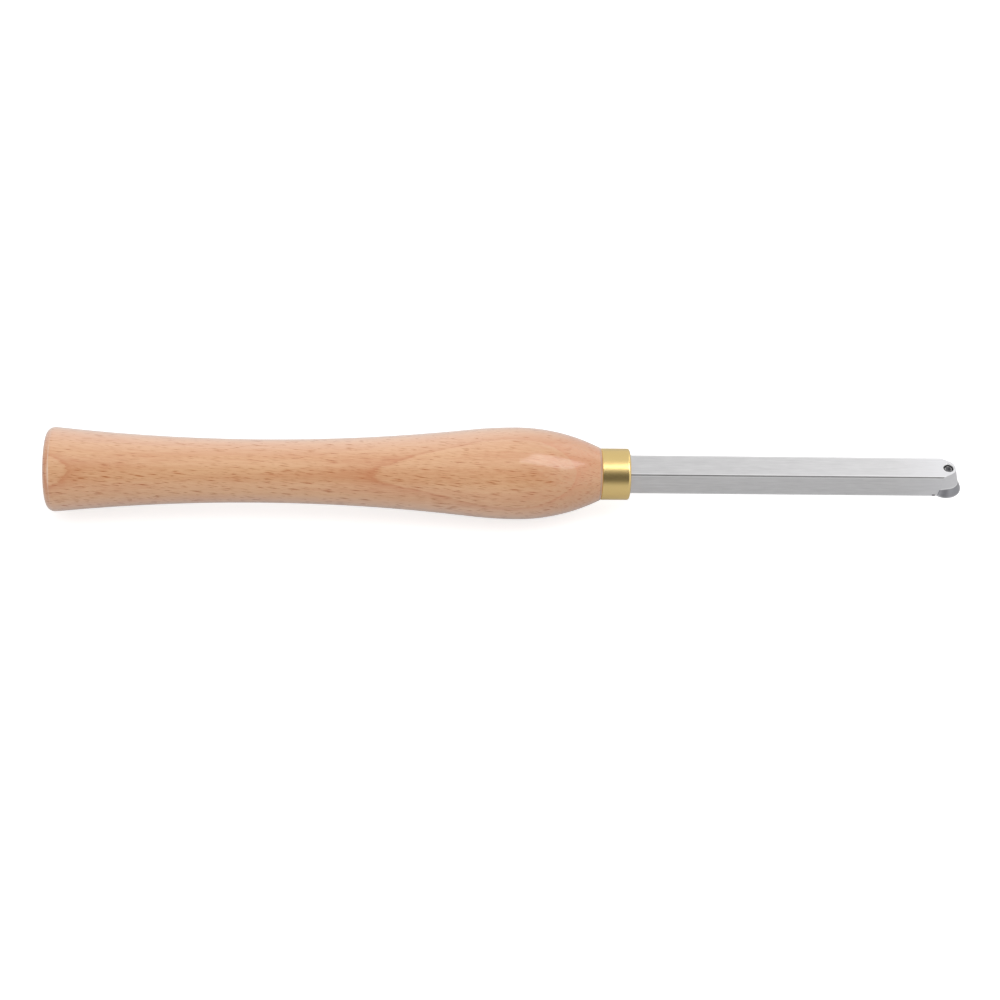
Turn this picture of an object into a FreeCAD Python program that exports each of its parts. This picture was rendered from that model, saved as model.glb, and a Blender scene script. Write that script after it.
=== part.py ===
"""Carbide turning tool: a round cutter screwed to a square steel bar in a turned wooden handle.

The row frame lies on the bar's underside, where the bar leaves the ferrule. +X runs along the
tool to the cutting edge and +Z points out of the underside, so the cutter faces -Z, as the tool
lies in its picture. In use it is turned over, with the cutter up.
"""
import FreeCAD, Part
import math
import os
import Sketcher
from FreeCAD import Rotation, Vector

# Driving sizes in millimetres and degrees: the sheet's alias, its value and what it is.
DRIVING_SIZES = [
    ("handle_length", 198.6, "butt to the rear edge of the ferrule"),
    ("butt_diameter", 30.3, "thickest place of the flared butt"),
    ("butt_round", 3.0, "rounded edge of the butt"),
    ("waist_diameter", 22.8, "thinnest place of the grip"),
    ("waist_distance", 123.6, "waist behind the ferrule"),
    ("bulge_diameter", 33.2, "thickest place, where the hand stops"),
    ("bulge_distance", 30.3, "thickest place behind the ferrule"),
    ("crown_radius", 152.0, "long curve from the bulge back towards the waist"),
    ("wood_lip", 0.1, "wood standing proud of the ferrule"),
    ("wood_lip_break", 0.15, "broken front edge of that lip"),
    ("ferrule_length", 10.4, "along the tenon"),
    ("ferrule_diameter", 18.6, "outside"),
    ("ferrule_wall", 1.2, "tube wall"),
    ("ferrule_front_break", 0.6, "broken front edge"),
    ("ferrule_rear_break", 0.25, "broken rear edge"),
    ("ferrule_clearance", 0.03, "tenon to ferrule, on the radius"),
    ("bar_side", 10.0, "square section"),
    ("bar_edge_break", 0.3, "chamfer of the four long edges"),
    ("cutter_reach", 115.9, "bar's shoulder to the cutter's axis"),
    ("shoulder_gap", 0.2, "film between the bar's shoulder and the wood"),
    ("tang_diameter", 9.5, "round tang"),
    ("tang_length", 60.0, "shoulder to the tang's end"),
    ("tang_chamfer", 0.8, "lead of the tang's end"),
    ("adhesive_film", 0.25, "film round the tang"),
    ("adhesive_pool", 1.5, "left behind the tang's end"),
    ("drill_point_angle", 118.0, "point of the drill that bored the handle"),
    ("nose_setback", 2.65, "nose's rear corners behind the cutter's axis"),
    ("nose_tip_reach", 2.65, "nose's end ahead of the cutter's axis, at the underside"),
    ("nose_tip_radius", 3.6, "nose's end at the underside"),
    ("seat_rim_radius", 4.5, "nose's end at the seat"),
    ("seat_depth", 3.4, "seat below the bar's cutter side"),
    ("seat_wall_radius", 5.8, "round seat wall at the seat"),
    ("seat_wall_draft", 5.0, "lean of the seat wall"),
    ("cutter_diameter", 12.0, "cutting edge"),
    ("cutter_thickness", 3.2, "seat to cutting edge"),
    ("cutter_relief_angle", 25.0, "lean of the flank under the edge"),
    ("cutter_bore_diameter", 4.4, "hole for the screw"),
    ("countersink_diameter", 7.2, "mouth of the cutter's hole"),
    ("countersink_angle", 90.0, "cone of the hole and of the screw's head"),
    ("screw_diameter", 3.5, "at the middle of its threads"),
    ("screw_length", 9.0, "head included"),
    ("screw_end_chamfer", 0.4, "lead of the thread"),
    ("thread_clearance", 0.05, "screw to tapped hole, on the radius"),
    ("hole_mouth_break", 0.35, "broken mouth of the tapped hole"),
    ("head_clearance", 0.05, "between the cones of head and cutter"),
    ("head_recess", 0.15, "head below the cutter's face"),
    ("head_rim", 0.2, "straight rim of the head"),
    ("socket_bore_diameter", 2.3, "round middle of the six lobed socket"),
    ("socket_lobe_diameter", 0.75, "each lobe"),
    ("socket_lobe_circle", 2.5, "circle of the lobes' centres"),
    ("socket_depth", 1.5, "socket in the head"),
    ("cut_overrun", 2.0, "how far cuts run past the material"),
]

# Places and radii that follow from the driving sizes, as expressions of the sheet.
FERRULE_FRONT = "-Sizes.shoulder_gap"
FERRULE_REAR = "-Sizes.shoulder_gap - Sizes.ferrule_length"
BUTT = FERRULE_REAR + " - Sizes.handle_length"
BULGE_PLACE = FERRULE_REAR + " - Sizes.bulge_distance"
WAIST_PLACE = FERRULE_REAR + " - Sizes.waist_distance"
BUTT_CREST = BUTT + " + Sizes.butt_round"
BUTT_RADIUS = "Sizes.butt_diameter / 2"
WAIST_RADIUS = "Sizes.waist_diameter / 2"
BULGE_RADIUS = "Sizes.bulge_diameter / 2"
LIP_RADIUS = "Sizes.ferrule_diameter / 2 + Sizes.wood_lip"
FERRULE_BORE_DIAMETER = "Sizes.ferrule_diameter - 2 * Sizes.ferrule_wall"
TENON_RADIUS = "Sizes.ferrule_diameter / 2 - Sizes.ferrule_wall - Sizes.ferrule_clearance"
TANG_RADIUS = "Sizes.tang_diameter / 2"
TANG_END = "-Sizes.tang_length"
TANG_BORE_DIAMETER = "Sizes.tang_diameter + 2 * Sizes.adhesive_film"
TANG_BORE_RADIUS = "Sizes.tang_diameter / 2 + Sizes.adhesive_film"
TANG_BORE_END = TANG_END + " - Sizes.adhesive_pool"
TANG_BORE_TIP = TANG_BORE_END + " - (" + TANG_BORE_RADIUS + ") / tan(Sizes.drill_point_angle / 2)"
TANG_BORE_DEPTH = "Sizes.tang_length + Sizes.adhesive_pool - Sizes.shoulder_gap"
HALF_SIDE = "Sizes.bar_side / 2"
NEAR_HALF_SIDE = "-Sizes.bar_side / 2"
SEAT_HEIGHT = "Sizes.seat_depth - Sizes.bar_side / 2"
BAR_LENGTH = "Sizes.cutter_reach + Sizes.seat_rim_radius"
NOSE_CORNER = "Sizes.cutter_reach - Sizes.nose_setback"
NOSE_TIP_CENTRE = "Sizes.cutter_reach + Sizes.nose_tip_reach - Sizes.nose_tip_radius"
CLEAR_FRONT = BAR_LENGTH + " + Sizes.cut_overrun"
CLEAR_SIDE = "Sizes.bar_side / 2 + Sizes.cut_overrun"
NEAR_CLEAR_SIDE = "-Sizes.bar_side / 2 - Sizes.cut_overrun"
SEAT_MOUTH_RADIUS = "Sizes.seat_wall_radius + Sizes.seat_depth * tan(Sizes.seat_wall_draft)"
NEAR_SEAT_MOUTH_RADIUS = "-(" + SEAT_MOUTH_RADIUS + ")"
SEAT_MOUTH_FRONT = CLEAR_FRONT + " + " + SEAT_MOUTH_RADIUS
CUTTER_FOOT_RADIUS = "Sizes.cutter_diameter / 2 - Sizes.cutter_thickness * tan(Sizes.cutter_relief_angle)"
COUNTERSINK_FOOT = (
    "Sizes.cutter_thickness - (Sizes.countersink_diameter - Sizes.cutter_bore_diameter) / 2"
    " / tan(Sizes.countersink_angle / 2)"
)
HEAD_TOP = "Sizes.cutter_thickness - Sizes.head_recess"
HEAD_SHOULDER = HEAD_TOP + " - Sizes.head_rim"
HEAD_RADIUS = (
    "Sizes.countersink_diameter / 2 - Sizes.head_clearance / cos(Sizes.countersink_angle / 2)"
    " - (Sizes.head_recess + Sizes.head_rim) * tan(Sizes.countersink_angle / 2)"
)
SCREW_RADIUS = "Sizes.screw_diameter / 2"
HEAD_CONE_HEIGHT = "(" + HEAD_RADIUS + " - " + SCREW_RADIUS + ") / tan(Sizes.countersink_angle / 2)"
HEAD_FOOT = HEAD_SHOULDER + " - " + HEAD_CONE_HEIGHT
SCREW_END = HEAD_TOP + " - Sizes.screw_length"
TAPPED_HOLE_DIAMETER = "Sizes.screw_diameter + 2 * Sizes.thread_clearance"

ZERO = "0"
LOBE_COUNT = 6
FULL_TURN = 360.0
EDGE_SAMPLES = 6
SNAP = 1e-6

# How a sketch numbers the places of a line or an arc, and its own origin.
START, END, CENTRE = range(1, 4)
ORIGIN = (-1, START)

document = FreeCAD.newDocument("carbide_turning_tool")


def make_sheet():
    """Put every driving size in the sheet, with its alias and a note."""
    sizes = document.addObject("Spreadsheet::Sheet", "Sizes")
    for row, (alias, value, note) in enumerate(DRIVING_SIZES, start=1):
        sizes.set(f"A{row}", alias)
        sizes.set(f"B{row}", str(value))
        sizes.setAlias(f"B{row}", alias)
        sizes.set(f"C{row}", note)
    document.recompute()
    return sizes


sheet = make_sheet()


def value_of(expression):
    """The number that an expression of the sheet gives now."""
    return float(sheet.evalExpression(expression))


def new_body(label, turned_over=False, place_x=ZERO, place_z="-Sizes.bar_side / 2"):
    """A body on the tool's centre line, or turned over onto the seat."""
    body = document.addObject("PartDesign::Body", label)
    body.Label = label
    if turned_over:
        body.Placement.Rotation = Rotation(Vector(1, 0, 0), FULL_TURN / 2)
    body.setExpression("Placement.Base.x", place_x)
    body.setExpression("Placement.Base.z", place_z)
    document.recompute()
    return body


def new_sketch(body, name, role, height=ZERO):
    """A sketch on one of the body's own origin planes, raised by an expression."""
    sketch = body.newObject("Sketcher::SketchObject", name)
    plane = [item for item in body.Origin.OriginFeatures if item.Role == role][0]
    sketch.AttachmentSupport = [(plane, "")]
    sketch.MapMode = "FlatFace"
    sketch.setExpression("AttachmentOffset.Base.z", height)
    return sketch


def bind(sketch, constraint, expression):
    """Add a constraint whose value is an expression of the sheet."""
    index = sketch.addConstraint(constraint)
    name = f"size_{index}"
    sketch.renameConstraint(index, name)
    sketch.setExpression(f"Constraints.{name}", expression)


def pin_across(sketch, geometry, point, across):
    """Place one point of a sketch by its distance along the sketch's first axis."""
    bind(sketch, Sketcher.Constraint("DistanceX", *ORIGIN, geometry, point, value_of(across)), across)


def pin_up(sketch, geometry, point, up):
    """Place one point of a sketch by its distance along the sketch's second axis."""
    bind(sketch, Sketcher.Constraint("DistanceY", *ORIGIN, geometry, point, value_of(up)), up)


def pin_point(sketch, geometry, point, across, up):
    """Place one point of a sketch by both its distances from the origin."""
    pin_across(sketch, geometry, point, across)
    pin_up(sketch, geometry, point, up)


def draw_line(sketch, start, end):
    """A straight line between two places that are numbers."""
    return sketch.addGeometry(Part.LineSegment(Vector(*start, 0), Vector(*end, 0)), False)


def draw_arc(sketch, centre, start, end):
    """An arc that runs counter-clockwise from start to end."""
    radius = math.dist(centre, start)
    first = math.atan2(start[1] - centre[1], start[0] - centre[0])
    last = math.atan2(end[1] - centre[1], end[0] - centre[0])
    if last < first:
        last += math.radians(FULL_TURN)
    circle = Part.Circle(Vector(*centre, 0), Vector(0, 0, 1), radius)
    return sketch.addGeometry(Part.ArcOfCircle(circle, first, last), False)


def join_round(sketch, links, smooth=()):
    """Join each piece to the next all the way round, with no corner before those in smooth.

    A link is a piece of the sketch with the ends where the way round enters and leaves it.
    """
    for (first, _, leave), (second, enter, _) in zip(links, links[1:] + links[:1]):
        kind = "Tangent" if second in smooth else "Coincident"
        sketch.addConstraint(Sketcher.Constraint(kind, first, leave, second, enter))


def forwards(*pieces):
    """Links that run through each piece from its start to its end."""
    return [(piece, START, END) for piece in pieces]


def backwards(*pieces):
    """Links that run through each piece from its end to its start."""
    return [(piece, END, START) for piece in pieces]


def draw_outline(sketch, corners):
    """A closed outline of straight lines, with each corner given as two expressions."""
    places = [(value_of(across), value_of(up)) for across, up in corners]
    ends = places[1:] + places[:1]
    lines = [draw_line(sketch, start, end) for start, end in zip(places, ends)]
    join_round(sketch, forwards(*lines))
    for line, corner in zip(lines, corners):
        pin_point(sketch, line, START, *corner)


def draw_circle(sketch, across, up, diameter):
    """A circle whose centre and diameter are expressions."""
    centre = Vector(value_of(across), value_of(up), 0)
    circle = Part.Circle(centre, Vector(0, 0, 1), value_of(diameter) / 2)
    index = sketch.addGeometry(circle, False)
    pin_point(sketch, index, CENTRE, across, up)
    bind(sketch, Sketcher.Constraint("Diameter", index, value_of(diameter)), diameter)


def add_feature(body, kind, name, profile=None):
    """A feature in the body, made of a sketch if one is given."""
    feature = body.newObject(kind, name)
    if profile is not None:
        feature.Profile = profile
        profile.Visibility = False
    return feature


def turn_profile(body, name, sketch, axis):
    """Turn a half profile once round one of its sketch's axes."""
    turned = add_feature(body, "PartDesign::Revolution", name, sketch)
    turned.ReferenceAxis = (sketch, [axis])
    turned.Angle = FULL_TURN
    document.recompute()
    return turned


def cut_away(body, cut):
    """Recompute after a cut and stop if it took nothing from the body."""
    before = cut.BaseFeature.Shape.Volume
    document.recompute()
    if before - cut.Shape.Volume <= SNAP:
        raise RuntimeError(f"{cut.Name} of {body.Label} cuts nothing")


def on_ring(place, radius):
    """A test for points on the circle of that radius round X at that place."""
    place_now = value_of(place)
    radius_now = value_of(radius)

    def passes(point):
        return abs(point.x - place_now) < SNAP and abs(math.hypot(point.y, point.z) - radius_now) < SNAP

    return passes


def on_corner(half_width):
    """A test for points on the long corners of a square bar of that half width."""
    half_now = value_of(half_width)

    def passes(point):
        return abs(abs(point.y) - half_now) < SNAP and abs(abs(point.z) - half_now) < SNAP

    return passes


def dress_edges(body, kind, name, passes, size_property, size):
    """A fillet or chamfer on those edges of the body's tip whose points all pass the test."""
    base = body.Tip
    names = []
    for index, edge in enumerate(base.Shape.Edges, start=1):
        if all(passes(point) for point in edge.discretize(EDGE_SAMPLES)):
            names.append(f"Edge{index}")
    dressed = body.newObject(kind, name)
    dressed.Base = (base, names)
    dressed.setExpression(size_property, size)
    document.recompute()


def level_arc_centre(crest, point):
    """Centre of the arc that is level at its crest and passes through the point."""
    across = point[0] - crest[0]
    down = crest[1] - point[1]
    return crest[0], crest[1] - (across**2 + down**2) / (2 * down)


def tangent_touch(corner, centre, radius):
    """Where a line from the corner touches the circle, on the side away from the circle's axis."""
    offset_x = corner[0] - centre[0]
    offset_y = corner[1] - centre[1]
    reach = math.hypot(offset_x, offset_y)
    turn = math.acos(radius / reach) * (-1 if offset_y > 0 else 1)
    heading = math.atan2(offset_y, offset_x) + turn
    return centre[0] + radius * math.cos(heading), centre[1] + radius * math.sin(heading)


def hollow_beside(crest, radius, waist):
    """The hollow arc level at the waist that smoothly meets a round one level at its crest.

    Gives the hollow arc's centre and the place where the two arcs meet.
    """
    span = crest[0] - waist[0]
    rise = crest[1] - waist[1]
    centres_apart = (span**2 + rise**2) / (2 * rise)
    round_centre = (crest[0], crest[1] - radius)
    hollow_centre = (waist[0], waist[1] + centres_apart - radius)
    share = radius / centres_apart
    meeting = tuple(low + (high - low) * share for low, high in zip(round_centre, hollow_centre))
    return hollow_centre, meeting


def make_handle():
    """Turned wooden handle: long hollow grip, hand stop, tenon for the ferrule and bored tang hole."""
    body = new_body("handle")
    sketch = new_sketch(body, "handle_half_profile", "XZ_Plane")
    butt_round = value_of("Sizes.butt_round")
    crown_radius = value_of("Sizes.crown_radius")
    butt_middle = (value_of(BUTT), 0)
    butt_crest = (value_of(BUTT_CREST), value_of(BUTT_RADIUS))
    butt_corner = (butt_middle[0], butt_crest[1] - butt_round)
    waist = (value_of(WAIST_PLACE), value_of(WAIST_RADIUS))
    bulge = (value_of(BULGE_PLACE), value_of(BULGE_RADIUS))
    lip_corner = (value_of(FERRULE_REAR), value_of(LIP_RADIUS))
    step_corner = (value_of(FERRULE_REAR), value_of(TENON_RADIUS))
    tenon_corner = (value_of(FERRULE_FRONT), value_of(TENON_RADIUS))
    front_middle = (value_of(FERRULE_FRONT), 0)
    rear_centre, rear_meeting = hollow_beside(butt_crest, butt_round, waist)
    sweep_centre, sweep_meeting = hollow_beside(bulge, crown_radius, waist)

    axis_line = draw_line(sketch, butt_middle, front_middle)
    face_line = draw_line(sketch, front_middle, tenon_corner)
    tenon_line = draw_line(sketch, tenon_corner, step_corner)
    step_line = draw_line(sketch, step_corner, lip_corner)
    front_arc = draw_arc(sketch, level_arc_centre(bulge, lip_corner), lip_corner, bulge)
    crown_arc = draw_arc(sketch, (bulge[0], bulge[1] - crown_radius), bulge, sweep_meeting)
    sweep_arc = draw_arc(sketch, sweep_centre, waist, sweep_meeting)
    rear_arc = draw_arc(sketch, rear_centre, rear_meeting, waist)
    butt_arc = draw_arc(sketch, (butt_crest[0], butt_corner[1]), rear_meeting, butt_corner)
    butt_line = draw_line(sketch, butt_corner, butt_middle)
    links = forwards(axis_line, face_line, tenon_line, step_line, front_arc, crown_arc)
    links += backwards(sweep_arc, rear_arc) + forwards(butt_arc, butt_line)
    join_round(sketch, links, smooth=(crown_arc, sweep_arc, rear_arc, butt_arc, butt_line))

    pin_point(sketch, axis_line, START, BUTT, ZERO)
    pin_point(sketch, axis_line, END, FERRULE_FRONT, ZERO)
    pin_point(sketch, tenon_line, START, FERRULE_FRONT, TENON_RADIUS)
    pin_point(sketch, step_line, START, FERRULE_REAR, TENON_RADIUS)
    pin_point(sketch, step_line, END, FERRULE_REAR, LIP_RADIUS)
    pin_point(sketch, front_arc, END, BULGE_PLACE, BULGE_RADIUS)
    pin_across(sketch, front_arc, CENTRE, BULGE_PLACE)
    pin_point(sketch, rear_arc, END, WAIST_PLACE, WAIST_RADIUS)
    pin_across(sketch, rear_arc, CENTRE, WAIST_PLACE)
    pin_up(sketch, butt_arc, CENTRE, BUTT_RADIUS + " - Sizes.butt_round")
    bind(sketch, Sketcher.Constraint("Radius", crown_arc, crown_radius), "Sizes.crown_radius")
    bind(sketch, Sketcher.Constraint("Radius", butt_arc, butt_round), "Sizes.butt_round")
    sketch.addConstraint(Sketcher.Constraint("Vertical", butt_line))
    turn_profile(body, "turned_blank", sketch, "H_Axis")
    lip_rim = on_ring(FERRULE_REAR, LIP_RADIUS)
    dress_edges(body, "PartDesign::Chamfer", "lip_break", lip_rim, "Size", "Sizes.wood_lip_break")

    bore_circle = new_sketch(body, "tang_bore_circle", "YZ_Plane", FERRULE_FRONT)
    draw_circle(bore_circle, ZERO, ZERO, TANG_BORE_DIAMETER)
    bore = add_feature(body, "PartDesign::Hole", "tang_bore", bore_circle)
    bore.ThreadType = "None"
    bore.DepthType = "Dimension"
    bore.DrillPoint = "Angled"
    bore.setExpression("Diameter", TANG_BORE_DIAMETER)
    bore.setExpression("Depth", TANG_BORE_DEPTH)
    bore.setExpression("DrillPointAngle", "Sizes.drill_point_angle")
    cut_away(body, bore)
    return body


def make_ferrule():
    """Brass tube pressed on the tenon, with both outer edges broken."""
    body = new_body("ferrule")
    rings = new_sketch(body, "ferrule_rings", "YZ_Plane", FERRULE_FRONT)
    draw_circle(rings, ZERO, ZERO, "Sizes.ferrule_diameter")
    draw_circle(rings, ZERO, ZERO, FERRULE_BORE_DIAMETER)
    tube = add_feature(body, "PartDesign::Pad", "ferrule_tube", rings)
    tube.Reversed = True
    tube.setExpression("Length", "Sizes.ferrule_length")
    document.recompute()
    front_rim = on_ring(FERRULE_FRONT, "Sizes.ferrule_diameter / 2")
    rear_rim = on_ring(FERRULE_REAR, "Sizes.ferrule_diameter / 2")
    dress_edges(body, "PartDesign::Chamfer", "front_break", front_rim, "Size", "Sizes.ferrule_front_break")
    dress_edges(body, "PartDesign::Chamfer", "rear_break", rear_rim, "Size", "Sizes.ferrule_rear_break")
    return body


def draw_nose_waste(body, name, height, centre, radius):
    """Outline of what the nose's relief grinds off at one height: all but the nose itself."""
    sketch = new_sketch(body, name, "XY_Plane", height)
    corner = value_of(NOSE_CORNER)
    half = value_of(HALF_SIDE)
    front = value_of(CLEAR_FRONT)
    side = value_of(CLEAR_SIDE)
    middle = (value_of(centre), 0)
    near_touch = tangent_touch((corner, -half), middle, value_of(radius))
    far_touch = (near_touch[0], -near_touch[1])

    near_line = draw_line(sketch, (corner, -half), near_touch)
    tip_arc = draw_arc(sketch, middle, near_touch, far_touch)
    far_line = draw_line(sketch, far_touch, (corner, half))
    far_wing = draw_line(sketch, (corner, half), (corner, side))
    far_edge = draw_line(sketch, (corner, side), (front, side))
    front_edge = draw_line(sketch, (front, side), (front, -side))
    near_edge = draw_line(sketch, (front, -side), (corner, -side))
    near_wing = draw_line(sketch, (corner, -side), (corner, -half))
    links = forwards(near_line, tip_arc, far_line, far_wing, far_edge, front_edge, near_edge, near_wing)
    join_round(sketch, links, smooth=(tip_arc, far_line))

    pin_point(sketch, near_line, START, NOSE_CORNER, NEAR_HALF_SIDE)
    pin_point(sketch, far_line, END, NOSE_CORNER, HALF_SIDE)
    pin_point(sketch, far_edge, START, NOSE_CORNER, CLEAR_SIDE)
    pin_point(sketch, front_edge, START, CLEAR_FRONT, CLEAR_SIDE)
    pin_point(sketch, near_edge, START, CLEAR_FRONT, NEAR_CLEAR_SIDE)
    pin_point(sketch, near_wing, START, NOSE_CORNER, NEAR_CLEAR_SIDE)
    pin_point(sketch, tip_arc, CENTRE, centre, ZERO)
    bind(sketch, Sketcher.Constraint("Radius", tip_arc, value_of(radius)), radius)
    return sketch


def draw_seat_outline(body):
    """Outline of the cutter's seat at the bar's cutter side: round behind, open in front."""
    sketch = new_sketch(body, "seat_outline", "XY_Plane", NEAR_HALF_SIDE)
    middle = value_of("Sizes.cutter_reach")
    wall = value_of(SEAT_MOUTH_RADIUS)
    front = value_of(SEAT_MOUTH_FRONT)
    round_wall = draw_arc(sketch, (middle, 0), (middle, wall), (middle, -wall))
    near_side = draw_line(sketch, (middle, -wall), (front, -wall))
    open_end = draw_line(sketch, (front, -wall), (front, wall))
    far_side = draw_line(sketch, (front, wall), (middle, wall))
    join_round(sketch, forwards(round_wall, near_side, open_end, far_side))
    pin_point(sketch, round_wall, CENTRE, "Sizes.cutter_reach", ZERO)
    pin_point(sketch, near_side, START, "Sizes.cutter_reach", NEAR_SEAT_MOUTH_RADIUS)
    pin_point(sketch, open_end, START, SEAT_MOUTH_FRONT, NEAR_SEAT_MOUTH_RADIUS)
    pin_point(sketch, far_side, START, SEAT_MOUTH_FRONT, SEAT_MOUTH_RADIUS)
    pin_across(sketch, far_side, END, "Sizes.cutter_reach")
    return sketch


def add_square_bar(body):
    """The bar itself, with its four long edges broken."""
    section = new_sketch(body, "bar_section", "YZ_Plane")
    corners = [(NEAR_HALF_SIDE, NEAR_HALF_SIDE), (HALF_SIDE, NEAR_HALF_SIDE)]
    corners += [(HALF_SIDE, HALF_SIDE), (NEAR_HALF_SIDE, HALF_SIDE)]
    draw_outline(section, corners)
    bar = add_feature(body, "PartDesign::Pad", "square_bar", section)
    bar.setExpression("Length", BAR_LENGTH)
    document.recompute()
    corner_edges = on_corner(HALF_SIDE)
    dress_edges(body, "PartDesign::Chamfer", "edge_breaks", corner_edges, "Size", "Sizes.bar_edge_break")


def add_tang(body):
    """The round tang behind the bar's shoulder."""
    circle = new_sketch(body, "tang_circle", "YZ_Plane")
    draw_circle(circle, ZERO, ZERO, "Sizes.tang_diameter")
    tang = add_feature(body, "PartDesign::Pad", "round_tang", circle)
    tang.Reversed = True
    tang.setExpression("Length", "Sizes.tang_length")
    document.recompute()
    tang_rim = on_ring(TANG_END, TANG_RADIUS)
    dress_edges(body, "PartDesign::Chamfer", "tang_lead", tang_rim, "Size", "Sizes.tang_chamfer")


def shape_nose(body):
    """The relieved nose, the cutter's seat under it and the tapped hole through both."""
    under = draw_nose_waste(body, "nose_at_underside", HALF_SIDE, NOSE_TIP_CENTRE, "Sizes.nose_tip_radius")
    rim = draw_nose_waste(body, "nose_at_seat", SEAT_HEIGHT, "Sizes.cutter_reach", "Sizes.seat_rim_radius")
    relief = add_feature(body, "PartDesign::SubtractiveLoft", "nose_relief", under)
    relief.Sections = [rim]
    relief.Ruled = True
    rim.Visibility = False
    cut_away(body, relief)

    seat = add_feature(body, "PartDesign::Pocket", "cutter_seat", draw_seat_outline(body))
    seat.Reversed = True
    seat.setExpression("Length", "Sizes.seat_depth")
    seat.setExpression("TaperAngle", "-Sizes.seat_wall_draft")
    cut_away(body, seat)

    circle = new_sketch(body, "screw_hole_circle", "XY_Plane", HALF_SIDE)
    draw_circle(circle, "Sizes.cutter_reach", ZERO, TAPPED_HOLE_DIAMETER)
    hole = add_feature(body, "PartDesign::Hole", "tapped_hole", circle)
    hole.ThreadType = "None"
    hole.DepthType = "ThroughAll"
    hole.HoleCutType = "Countersink"
    hole.HoleCutCustomValues = True
    hole.setExpression("Diameter", TAPPED_HOLE_DIAMETER)
    hole.setExpression("HoleCutDiameter", TAPPED_HOLE_DIAMETER + " + 2 * Sizes.hole_mouth_break")
    hole.setExpression("HoleCutCountersinkAngle", "Sizes.countersink_angle")
    cut_away(body, hole)


def make_tool_bar():
    """Square steel bar with a round tang, a relieved nose, a round seat and a tapped hole."""
    body = new_body("tool_bar")
    add_square_bar(body)
    add_tang(body)
    shape_nose(body)
    return body


def make_adhesive():
    """Hardened film that fills the bore round and behind the tang."""
    body = new_body("tang_adhesive")
    sketch = new_sketch(body, "adhesive_half_profile", "XZ_Plane")
    corners = [
        (TANG_BORE_TIP, ZERO),
        (TANG_END, ZERO),
        (TANG_END, TANG_RADIUS + " - Sizes.tang_chamfer"),
        (TANG_END + " + Sizes.tang_chamfer", TANG_RADIUS),
        (ZERO, TANG_RADIUS),
        (ZERO, TANG_BORE_RADIUS),
        (TANG_BORE_END, TANG_BORE_RADIUS),
    ]
    draw_outline(sketch, corners)
    turn_profile(body, "adhesive_sleeve", sketch, "H_Axis")
    return body


def make_cutter():
    """Round carbide cutter: relieved flank, flat face and a countersunk hole."""
    body = new_body("cutter", True, "Sizes.cutter_reach", "-Sizes.bar_side + Sizes.seat_depth")
    sketch = new_sketch(body, "cutter_half_profile", "XZ_Plane")
    corners = [
        ("Sizes.cutter_bore_diameter / 2", ZERO),
        (CUTTER_FOOT_RADIUS, ZERO),
        ("Sizes.cutter_diameter / 2", "Sizes.cutter_thickness"),
        ("Sizes.countersink_diameter / 2", "Sizes.cutter_thickness"),
        ("Sizes.cutter_bore_diameter / 2", COUNTERSINK_FOOT),
    ]
    draw_outline(sketch, corners)
    turn_profile(body, "cutter_disc", sketch, "V_Axis")
    return body


def make_cutter_screw():
    """Countersunk screw that clamps the cutter, with a six lobed socket."""
    body = new_body("cutter_screw", True, "Sizes.cutter_reach", "-Sizes.bar_side + Sizes.seat_depth")
    sketch = new_sketch(body, "screw_half_profile", "XZ_Plane")
    lead_radius = SCREW_RADIUS + " - Sizes.screw_end_chamfer"
    corners = [
        (ZERO, SCREW_END),
        (lead_radius, SCREW_END),
        (SCREW_RADIUS, SCREW_END + " + Sizes.screw_end_chamfer"),
        (SCREW_RADIUS, HEAD_FOOT),
        (HEAD_RADIUS, HEAD_SHOULDER),
        (HEAD_RADIUS, HEAD_TOP),
        (ZERO, HEAD_TOP),
    ]
    draw_outline(sketch, corners)
    turn_profile(body, "screw_blank", sketch, "V_Axis")

    middle_circle = new_sketch(body, "socket_middle_circle", "XY_Plane", HEAD_TOP)
    draw_circle(middle_circle, ZERO, ZERO, "Sizes.socket_bore_diameter")
    middle = add_feature(body, "PartDesign::Pocket", "socket_middle", middle_circle)
    middle.setExpression("Length", "Sizes.socket_depth")
    cut_away(body, middle)

    lobe_circle = new_sketch(body, "socket_lobe_outline", "XY_Plane", HEAD_TOP)
    draw_circle(lobe_circle, "Sizes.socket_lobe_circle / 2", ZERO, "Sizes.socket_lobe_diameter")
    lobe = add_feature(body, "PartDesign::Pocket", "socket_lobe", lobe_circle)
    lobe.setExpression("Length", "Sizes.socket_depth")
    cut_away(body, lobe)

    lobes = body.newObject("PartDesign::PolarPattern", "socket_lobes")
    lobes.Originals = [lobe]
    lobes.Axis = (middle_circle, ["N_Axis"])
    lobes.Angle = FULL_TURN
    lobes.Occurrences = LOBE_COUNT
    body.Tip = lobes
    document.recompute()
    return body


def stop_on_failure(bodies):
    """Stop if any object of the document failed or any piece isn't one sound solid."""
    document.recompute()
    for item in document.Objects:
        if "Invalid" in item.State or "Error" in item.State:
            raise RuntimeError(f"{item.Name} failed: {item.State}")
        if item.TypeId == "Sketcher::SketchObject" and item.solve() != 0:
            raise RuntimeError(f"{item.Name} has constraints that don't agree")
    for body in bodies:
        shape = body.Shape
        if shape.isNull() or not shape.isValid() or len(shape.Solids) != 1:
            raise RuntimeError(f"{body.Label} isn't one sound solid")


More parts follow.
